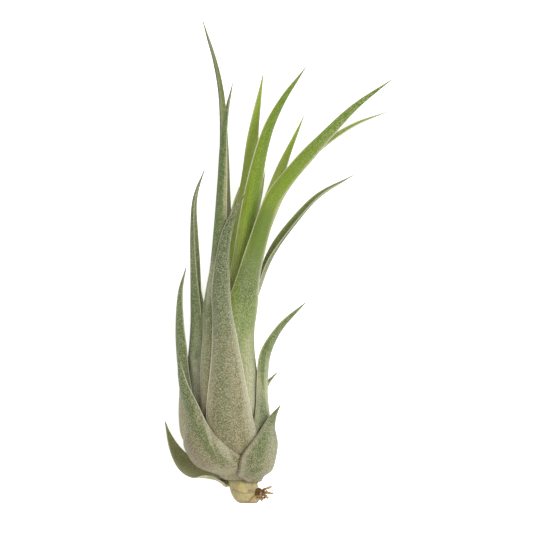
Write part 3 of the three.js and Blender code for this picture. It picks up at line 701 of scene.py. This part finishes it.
class LeafPaint(Nodes):
    """A leaf's colour, laid down coat by coat, and the patterns that say where each coat lies."""

    def __init__(self, leaf, colours):
        super().__init__(leaf.name + "_skin", Specular_IOR_Level=0.3, Sheen_Weight=0.08, Sheen_Roughness=0.6)
        self.skin, self.colours = SKINS[leaf.name], colours
        self.across, self.along, seed = self.attribute("skin")
        self.edge, self.tip, self.outside = self.attribute("rim")
        self.streaks = self.noise(self.join(self.across * 1.4, self.along * 0.05, seed), 4, 0.6)
        self.mottle = self.noise(self.join(self.across * 0.32, self.along * 0.16, seed), 3)
        self.veins = (self.across * VEINS + self.streaks * 5).sine().step(-0.2, 1)
        scale = self.cells(self.join(self.across * SCALES_ACROSS, self.along * SCALES_ALONG, seed))
        self.dome = scale["Distance"].fall(0.2, 0.6)
        self.light = self.split(scale["Color"])[0] * 0.5 + self.dome * 0.5

        end = self.skin.sheath_end
        self.sheathed = (self.along + (self.mottle - 0.5) * 16).fall(end * 0.4, end)
        self.low = self.along.fall(end * 0.3, end)
        self.foot = getattr(colours, self.skin.foot)
        self.deep = self.by_age(colours.deep_green, colours.keel)
        self.colour = self.by_age(colours.leaf_green, colours.young_green)

    def by_age(self, grown, young):
        return [lerp(a, b, self.skin.young) for a, b in zip(grown, young)]

    def coat(self, amount, over, blend="MIX"):
        self.colour = self.mix(amount, self.colour, over, blend)

    def blade(self):
        """Green, paling to the sheath at its foot."""
        self.coat(self.streaks.step(0.45, 0.72) * 0.35, self.deep)
        self.coat(self.sheathed, self.foot)
        self.coat(self.mottle.step(0.5, 0.72) * 0.3, self.deep)
        self.coat(self.sheathed * self.streaks.fall(0.3, 0.5) * 0.3, self.colours.cream)
        if self.skin.flush:
            self.coat(self.low * self.edge.fall(0.4, 3) * self.skin.flush, self.colours.flush)

    def patches(self, own):
        """Lays on its own patches, some of them painted highlights and shade, and gives how bare of scurf the
        moss-green ones are.
        """
        bare = 0
        for patch in own:
            right, up = (self.across - patch.across) / patch.wide, (self.along - patch.along) / patch.tall
            ragged = (right ** 2 + up ** 2) ** 0.5 + (self.streaks - 0.5) * 0.9
            mask = ragged.fall(0.5, 1.1) * patch.amount
            self.coat(mask, getattr(self.colours, patch.tint))
            if patch.tint == "moss_and_shade":
                bare = mask * 0.6 + bare
        return bare

    def middle(self):
        """Painted light on the right-hand flank, a deeper middle and fine veins."""
        if self.skin.painted_lit_side:
            # painted light: the right-hand side, which faces the key light, is painted paler
            painted_lit_side = self.across.step(0.2, 1.6) * self.edge.fall(0.3, 2.6)
            self.coat(painted_lit_side * self.skin.painted_lit_side, self.colours.cream)
        keel = abs(self.across + (self.streaks - 0.5) * 1.2).fall(0.2, 1.8)
        self.coat(keel * self.skin.keel, self.colours.keel)
        self.coat(self.veins * (0.12 + 0.25 * self.skin.young), self.deep)

    def inner_side(self):
        """Plainer, lighter or darker than the outer side, with painted light lifting its shade deep in the
        folds.
        """
        inner = self.by_age(self.colours.inner_green, self.colours.young_inner)
        inner = self.mix(self.sheathed * 0.9, inner, self.foot)
        # painted light: the inner side is made lighter to lift the shade deep in the folds
        inner = self.mix(1, inner, (self.skin.inside,) * 3, "MULTIPLY")
        self.coat(self.outside.fall(0.3, 0.7) * 0.8, inner)

    def scurf(self, bare):
        """Scales on a blade that dulls towards its tip: dark between them and light on them."""
        self.coat(self.tip.fall(4, 45) * (0.45 - 0.25 * self.skin.young), self.deep)
        worn = self.along.fall(self.skin.clear - 14, self.skin.clear) * 0.75 + 0.25
        if self.skin.ashen:
            worn = self.tip.fall(12, 48) * self.skin.ashen + worn
        pits = self.light.fall(0.1, 0.6) * worn
        self.coat(pits * (0.3 + 0.55 * self.skin.scurf), PIT_SHADE, "MULTIPLY")
        scales = self.light.step(0.25, 0.9) * worn * (1 - bare)
        self.coat(scales * (0.55 * self.skin.scurf), self.colours.scurf)
        return scales

    def margins(self):
        """A pale band and a dark seam where they clasp, a pale rim where they are free, and a dry tip. The
        seam is partly a brownish-purple tint and partly painted contact shadow.
        """
        clasped = self.along.fall(10, 28)
        band = self.edge.fall(1.2, 2.4) - self.edge.fall(0.3, 0.6)
        self.coat(band * self.low * 0.25, self.colours.cream)
        # painted contact shadow, with a brownish-purple tint, along the clasping edge
        self.coat(self.edge.fall(0.2, 0.6) * clasped * 0.7, self.colours.seam)
        free = (1 - clasped) * self.tip.step(1, 8)
        self.coat(self.edge.fall(0.17, 0.42) * free * self.skin.rim, self.colours.rim)
        self.coat(self.tip.fall(0.3, self.skin.dry) * 0.6, self.colours.dry_tip)

    def finished(self, scales):
        """The material, lighter or darker overall by its own tone and by painted light and shade, with its
        patterns in relief.
        """
        # own tone and painted light and shade: the whole colour is scaled up for leaves in shade and down for
        # some that face the key light
        self.coat(1, (self.skin.tone,) * 3, "MULTIPLY")
        height = self.veins * -0.2 + self.streaks * 0.8 + self.mottle * 0.6
        relief = self.bump(height + self.dome * 0.5 + self.light * 0.3, RELIEF, 0.7)
        return self.surface(Base_Color=self.colour, Roughness=0.62 + scales * 0.2, Normal=relief)


def leaf_material(leaf, colours):
    """Scurfy skin: green blade, pale sheath, fine light and dark grains, dry margins and tip."""
    paint = LeafPaint(leaf, colours)
    paint.blade()
    bare = paint.patches(PATCHES.get(leaf.name, ()))
    paint.middle()
    paint.inner_side()
    scales = paint.scurf(bare)
    paint.margins()
    return paint.finished(scales)


def stem_material(colours):
    """Pale, faintly fibrous stub with a fresh yellow patch, dry leaf scars and a withered foot."""
    nodes = Nodes("stem_rind", Specular_IOR_Level=0.4)
    place = nodes.place()
    x, y, z = nodes.split(place)
    height = y + REST_Y
    fibres = nodes.noise(nodes.join(x * 2.8, y * 0.5, z * 2.8), 4, 0.6)
    mottle = nodes.noise(place, 3, scale=0.45)
    scars = abs(height + (mottle - 0.5) * 3 - 3.4).fall(0.05, 0.3)
    colour = nodes.mix(mottle.step(0.45, 0.62) * 0.6, colours.stem, colours.stem_yellow)
    colour = nodes.mix(fibres.step(0.42, 0.66) * 0.45, colour, colours.cream)
    colour = nodes.mix(height.step(5.0, 7.5) * 0.6, colour, colours.deep_green)
    colour = nodes.mix(scars * 0.5, colour, colours.stem_dry)
    colour = nodes.mix((height + fibres * 1.5).fall(0.8, 1.8) * 0.8, colour, colours.stem_dry)
    relief = nodes.bump(fibres * 0.8 + mottle * 0.5 - scars * 0.6, 0.2, 0.8)
    return nodes.surface(Base_Color=colour, Roughness=0.5 + fibres * 0.35, Normal=relief)


def root_material(colours):
    """Dark and crusty at the crown, worn to tan towards the tips."""
    nodes = Nodes("root_bark", Specular_IOR_Level=0.3)
    place = nodes.place()
    crown = Vector((CROWN[0] - REST_X, CROWN[1] - REST_Y, CROWN[2]))
    away = nodes.add("ShaderNodeVectorMath", {"operation": "DISTANCE"}, {0: place, 1: crown})["Value"]
    crust = nodes.noise(place, 4, 0.65, scale=2.2)
    colour = nodes.mix((away + crust * 1.6).step(2.1, 4.2), colours.root_dark, colours.root_tan)
    colour = nodes.mix(crust.step(0.55, 0.7) * 0.6, colour, colours.root_tan)
    return nodes.surface(Base_Color=colour, Roughness=0.75 + crust * 0.2, Normal=nodes.bump(crust, 0.25, 0.9))


def floor_material(colour):
    """A plain matte sheet with a trace of unevenness."""
    nodes = Nodes("stage_floor", Roughness=0.95, Specular_IOR_Level=0.1, Emission_Strength=0.6)
    cloudy = nodes.noise(nodes.place(), 2, scale=0.01)
    shade = nodes.mix(cloudy * 0.02, colour, [channel * 0.9 for channel in colour])
    return nodes.surface(Base_Color=shade, Emission_Color=shade)


# ---- Pieces ----

def stand_in(piece, node):
    """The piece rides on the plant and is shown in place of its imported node."""
    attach(piece, "root")
    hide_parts(node)


def start_piece(name, add_primitive, **form):
    """A primitive that becomes the piece of that name."""
    bpy.ops.object.select_all(action="DESELECT")
    add_primitive(**form)
    piece = bpy.context.object
    piece.name = piece.data.name = name
    return piece


def in_edit_mode(*steps):
    bpy.ops.object.mode_set(mode="EDIT")
    for step in steps:
        bpy.ops.mesh.select_all(action="SELECT")
        step()
    bpy.ops.object.mode_set(mode="OBJECT")


def corners(mesh):
    points = np.empty(len(mesh.vertices) * 3)
    mesh.vertices.foreach_get("co", points)
    return points.reshape(-1, 3)


def set_corners(mesh, millimetres):
    """Puts a mesh's points where they are given, from the foot of the stem."""
    placed = (millimetres - (REST_X, REST_Y, 0)) * MM
    mesh.vertices.foreach_set("co", placed.ravel())
    mesh.update()


def smooth_down(piece):
    """Applies a Subdivision Surface and shades the piece smooth."""
    soft = piece.modifiers.new("Subdivision", "SUBSURF")
    soft.levels = soft.render_levels = 1
    bpy.ops.object.modifier_apply(modifier=soft.name)
    bpy.ops.object.shade_smooth()


THIN_TIP, THIN_FROM = 0.35, 7  # the share of its wall that a tip keeps, and how far back it starts to thin
WAVE_LENGTHS = (2.6, 4.3)  # of the free margins' two waves, over 2 pi


def leaf_form(leaf, line, flat, seed, sizes):
    """Bends a flat slab's points to the leaf's form, with what its material reads at each point."""
    u, t, outer = flat[:, 0], (flat[:, 1] + 1) / 2, flat[:, 2]
    v = station(t)
    along = v * line.length
    to_tip = (1 - v) * line.length
    half = half_width(leaf, v, sizes.tip / MM)

    wall = lerp(2 * half_thickness(leaf, v, 0), sizes.margin / MM, smoothstep(abs(u), 0.35, 1))
    wall = wall * lerp(THIN_TIP, 1, smoothstep(to_tip, 0, THIN_FROM))

    free = smoothstep(line.at(v)[:, 1], leaf.clasps - 2, leaf.clasps + 10)
    short, long = WAVE_LENGTHS
    wave = np.sin(along / short + seed) + np.sin(along / long + 2 * seed + np.sign(u) * 2)
    wave = wave * smoothstep(half, 0.4, 2.5) * sizes.waves / MM
    rim = smoothstep(abs(u), 0.6, 1)
    inner = rim * lerp(-sizes.hug / MM, wave, free) - half_thickness(leaf, v, u)

    points = leaf_points(leaf, line, v, u, inner + outer * wall, sizes.tip / MM)
    lifts = leaf_lifts()[leaf.name]
    lift = read_smoothly(lifts, t * (len(lifts) - 1), (u + 1) / 2 * SOLID_ACROSS)
    skin = np.column_stack([u * half, along, np.full(len(u), float(seed))])
    margins = np.column_stack([(1 - abs(u)) * half, to_tip, outer])
    return raised(points, lift, (1 - outer) * wall), {"skin": skin, "rim": margins}


def grow_leaf(leaf, seed, sizes, colours):
    """Draws a flat grid out into a slab, bends it to the leaf's form and rounds its edges."""
    line = Midline(leaf)
    rows = math.ceil(line.length * MM / sizes.row_height)
    piece = start_piece(leaf.name + "_grown", bpy.ops.mesh.primitive_grid_add,
                        x_subdivisions=sizes.across, y_subdivisions=rows, size=2)
    in_edit_mode(
        lambda: bpy.ops.mesh.extrude_region_move(TRANSFORM_OT_translate={"value": (0, 0, 1)}),
        lambda: bpy.ops.mesh.normals_make_consistent(inside=False),
    )
    points, marks = leaf_form(leaf, line, corners(piece.data), seed, sizes)
    set_corners(piece.data, points)
    for name, values in marks.items():
        layer = piece.data.attributes.new(name, "FLOAT_VECTOR", "POINT")
        layer.data.foreach_set("vector", values.ravel())
    smooth_down(piece)
    piece.data.materials.append(leaf_material(leaf, colours))
    stand_in(piece, leaf.name)


class PlantOperator(bpy.types.Operator):
    """Adds part of the scene"""
    bl_options = {"REGISTER", "UNDO"}


class LeafOperator(PlantOperator):
    """Adds one group of leaves"""
    group = ""

    def execute(self, context):
        scene = context.scene
        for seed, leaf in enumerate(LEAVES, start=1):
            if leaf.name.startswith(self.group):
                grow_leaf(leaf, seed, scene.air_plant_leaves, scene.air_plant_colours)
        return {"FINISHED"}


class AIRPLANT_OT_heart_leaves(LeafOperator):
    """Adds the four bright young leaves in the middle"""
    bl_idname = "airplant.heart_leaves"
    bl_label = "Heart Leaves"
    group = "heart"


class AIRPLANT_OT_inner_leaves(LeafOperator):
    """Adds the eight long leaves round the heart"""
    bl_idname = "airplant.inner_leaves"
    bl_label = "Inner Leaves"
    group = "inner"


class AIRPLANT_OT_middle_leaves(LeafOperator):
    """Adds the five leaves that make up most of the bulb"""
    bl_idname = "airplant.middle_leaves"
    bl_label = "Middle Leaves"
    group = "middle"


class AIRPLANT_OT_outer_leaves(LeafOperator):
    """Adds the five short leaves round the foot"""
    bl_idname = "airplant.outer_leaves"
    bl_label = "Outer Leaves"
    group = "outer"


class AIRPLANT_OT_stem(PlantOperator):
    """Adds the stem stub that carries the leaves"""
    bl_idname = "airplant.stem"
    bl_label = "Stem"

    def execute(self, context):
        piece = start_piece("stem_stub", bpy.ops.mesh.primitive_uv_sphere_add,
                            segments=48, ring_count=64, radius=1)

        # From the middle of its foot, round the rim and up, then closed at its top.
        ball = corners(piece.data)
        up = np.arcsin(np.clip(ball[:, 2], -1, 1)) / math.pi + 0.5
        turn = np.degrees(np.arctan2(ball[:, 0], ball[:, 1]))
        height = Curve([(0, 0.5), (0.06, 0.25), (0.1, 0.05), (0.16, 0.5), (0.97, 27.6), (1, 28)])(up)
        taper = Curve([(0, 0), (0.06, 0.55), (0.1, 0.9), (0.16, 1), (0.97, 0.9), (1, 0)])(up)
        radius = stem_radius(height) * taper
        uneven = np.array([noise.noise(Vector(point) * 2.3) for point in ball])
        radius = radius * (1 + 0.06 * uneven)
        set_corners(piece.data, from_axis(height, radius, turn))
        in_edit_mode(lambda: bpy.ops.mesh.normals_make_consistent(inside=False))
        smooth_down(piece)
        piece.data.materials.append(stem_material(context.scene.air_plant_colours))
        stand_in(piece, "stem")
        return {"FINISHED"}


ROOT_TAPER = (1.3, 0.9)  # a strand's thickness at the crown and at its tip, as shares of the rods'
KINK = 0.16


def seeded(seed):
    """The same draws, from 0 to 1, as the part's source makes."""
    while True:
        seed = seed * 48271 % 2147483647
        yield seed / 2147483647


def root_courses():
    """The points of each root, from the crown to its tip."""
    draws = seeded(ROOT_SEED)
    crown = np.array(CROWN, float)

    def between(low, high):
        return low + next(draws) * (high - low)

    def course(tip, bend):
        points = []
        for t in (0, 0.3, 0.6, 0.85, 1):
            point = lerp(crown, np.array(tip, float), t) + np.array(bend) * math.sin(t * math.pi)
            dx, dz = point[0] - axis_x(point[1]), point[2] - axis_z(point[1])
            short = stem_radius(np.maximum(point[1], 0)) + 0.9 - math.hypot(dx, dz)
            if t > 0.2 and short > 0:
                point += np.array([dx, 0, dz]) / math.hypot(dx, dz) * short
            points.append(point)
        return points

    def bend_of(size):
        return between(-size, size), between(-size, size), between(0, size)

    courses = [course(tip, bend_of(0.4)) for tip in ROOT_TIPS]
    for _ in range(CURLED_ROOTS):
        out = unit(np.array([between(0.1, 1), between(-1, 0.5), between(-0.5, 0.8)]))
        courses.append(course(crown + out * between(2, 2.9), bend_of(1)))
    return courses


def grow_root(points, number):
    """One wiry root: a smooth kinked run that tapers to its tip."""
    run = Curve(np.column_stack([np.linspace(0, 1, len(points)), points]))
    at = np.linspace(0, 1, 19)
    kinks = np.array([noise.noise_vector(Vector((t * 5, number * 3.1, 0))) for t in at])
    places = (run(at) + kinks * KINK * np.sin(at * math.pi)[:, None] - (REST_X, REST_Y, 0)) * MM
    curve = bpy.data.curves.new("root", "CURVE")
    curve.dimensions = "3D"
    curve.bevel_depth = ROOT_RADIUS * MM
    curve.bevel_resolution = 3
    curve.use_fill_caps = True
    spline = curve.splines.new("POLY")
    spline.points.add(len(at) - 1)
    for point, place, t in zip(spline.points, places, at):
        point.co = (*place, 1)
        point.radius = lerp(*ROOT_TAPER, t) * (1 + 0.14 * math.sin(t * 19 + number))
    root = bpy.data.objects.new("root", curve)
    bpy.context.collection.objects.link(root)
    return root


class AIRPLANT_OT_roots(PlantOperator):
    """Adds the root crown and the wiry roots that grow from it"""
    bl_idname = "airplant.roots"
    bl_label = "Roots"

    def execute(self, context):
        piece = start_piece("root_tuft", bpy.ops.mesh.primitive_ico_sphere_add, subdivisions=5, radius=1)
        ball = corners(piece.data)
        knobs = np.array([noise.fractal(Vector(point) * 1.7, 1, 2, 4) for point in ball])
        set_corners(piece.data, np.array(CROWN) + ball * (CROWN_RADIUS * (0.92 + 0.16 * knobs))[:, None])
        noise.seed_set(ROOT_SEED)  # or the kinks would differ from run to run
        for number, points in enumerate(root_courses()):
            grow_root(points, number).select_set(True)
        context.view_layer.objects.active = piece
        bpy.ops.object.convert(target="MESH")
        bpy.ops.object.join()
        piece = context.object
        bpy.ops.object.shade_smooth()
        piece.data.materials.clear()
        piece.data.materials.append(root_material(context.scene.air_plant_colours))
        stand_in(piece, "roots")
        return {"FINISHED"}


FLOOR_GAP = 0.02 * MM  # keeps the floor clear of the faces that lie on it
PLANT_MIDDLE = 13 * MM  # height at which the picture has its view height
KEY_PLACE = Vector((0.45, 0.1, 0.85))  # from the picture's middle


class AIRPLANT_OT_stage(PlantOperator):
    """Adds the plain floor, the soft light and the camera"""
    bl_idname = "airplant.stage"
    bl_label = "Stage"

    def execute(self, context):
        scene, stage = context.scene, context.scene.air_plant_stage
        middle = Vector((stage.view_x, stage.view_y, 0))

        floor = start_piece("floor", bpy.ops.mesh.primitive_plane_add, size=8, location=(0, 0, -FLOOR_GAP))
        floor.data.materials.append(floor_material(stage.floor))

        sky = bpy.data.worlds.new("soft_sky")
        sky.use_nodes = True
        background = sky.node_tree.nodes["Background"]
        background.inputs["Color"].default_value = (1, 1, 1, 1)
        background.inputs["Strength"].default_value = stage.sky
        scene.world = sky

        bpy.ops.object.light_add(type="AREA", location=middle + KEY_PLACE)
        key = context.object
        key.name = "key_light"
        key.rotation_euler = (middle - key.location).to_track_quat("-Z", "Y").to_euler()
        key.data.shape = "DISK"
        key.data.size = 0.5
        key.data.energy = stage.key

        bpy.ops.object.camera_add(location=middle + Vector((0, 0, stage.distance + PLANT_MIDDLE)))
        camera = context.object
        camera.data.angle = 2 * math.atan(stage.view_height / 2 / stage.distance)
        scene.camera = camera
        scene.view_settings.view_transform = "Standard"
        return {"FINISHED"}


OPERATORS = (AIRPLANT_OT_stem, AIRPLANT_OT_roots, AIRPLANT_OT_heart_leaves, AIRPLANT_OT_inner_leaves,
             AIRPLANT_OT_middle_leaves, AIRPLANT_OT_outer_leaves, AIRPLANT_OT_stage)


class AIRPLANT_PT_panel(bpy.types.Panel):
    """Lists the plant's pieces and settings"""
    bl_idname = "AIRPLANT_PT_panel"
    bl_label = "Air Plant"
    bl_space_type = "VIEW_3D"
    bl_region_type = "UI"
    bl_category = "Air Plant"

    def draw(self, context):
        for operator in OPERATORS:
            self.layout.operator(operator.bl_idname)
        for group in SETTINGS:
            settings = getattr(context.scene, group)
            box = self.layout.box()
            for name in type(settings).__annotations__:
                box.prop(settings, name)


SETTINGS = {"air_plant_leaves": LeafSizes, "air_plant_colours": PlantColours, "air_plant_stage": StageSizes}
CLASSES = (*SETTINGS.values(), *OPERATORS, AIRPLANT_PT_panel)


def register():
    for cls in CLASSES:
        bpy.utils.register_class(cls)
    for group, settings in SETTINGS.items():
        setattr(bpy.types.Scene, group, bpy.props.PointerProperty(type=settings))


def unregister():
    for group in SETTINGS:
        delattr(bpy.types.Scene, group)
    for cls in reversed(CLASSES):
        bpy.utils.unregister_class(cls)


def main():
    register()
    bpy.ops.airplant.stem()
    bpy.ops.airplant.roots()
    bpy.ops.airplant.heart_leaves()
    bpy.ops.airplant.inner_leaves()
    bpy.ops.airplant.middle_leaves()
    bpy.ops.airplant.outer_leaves()
    bpy.ops.airplant.stage()


if __name__ == "__main__":
    main()
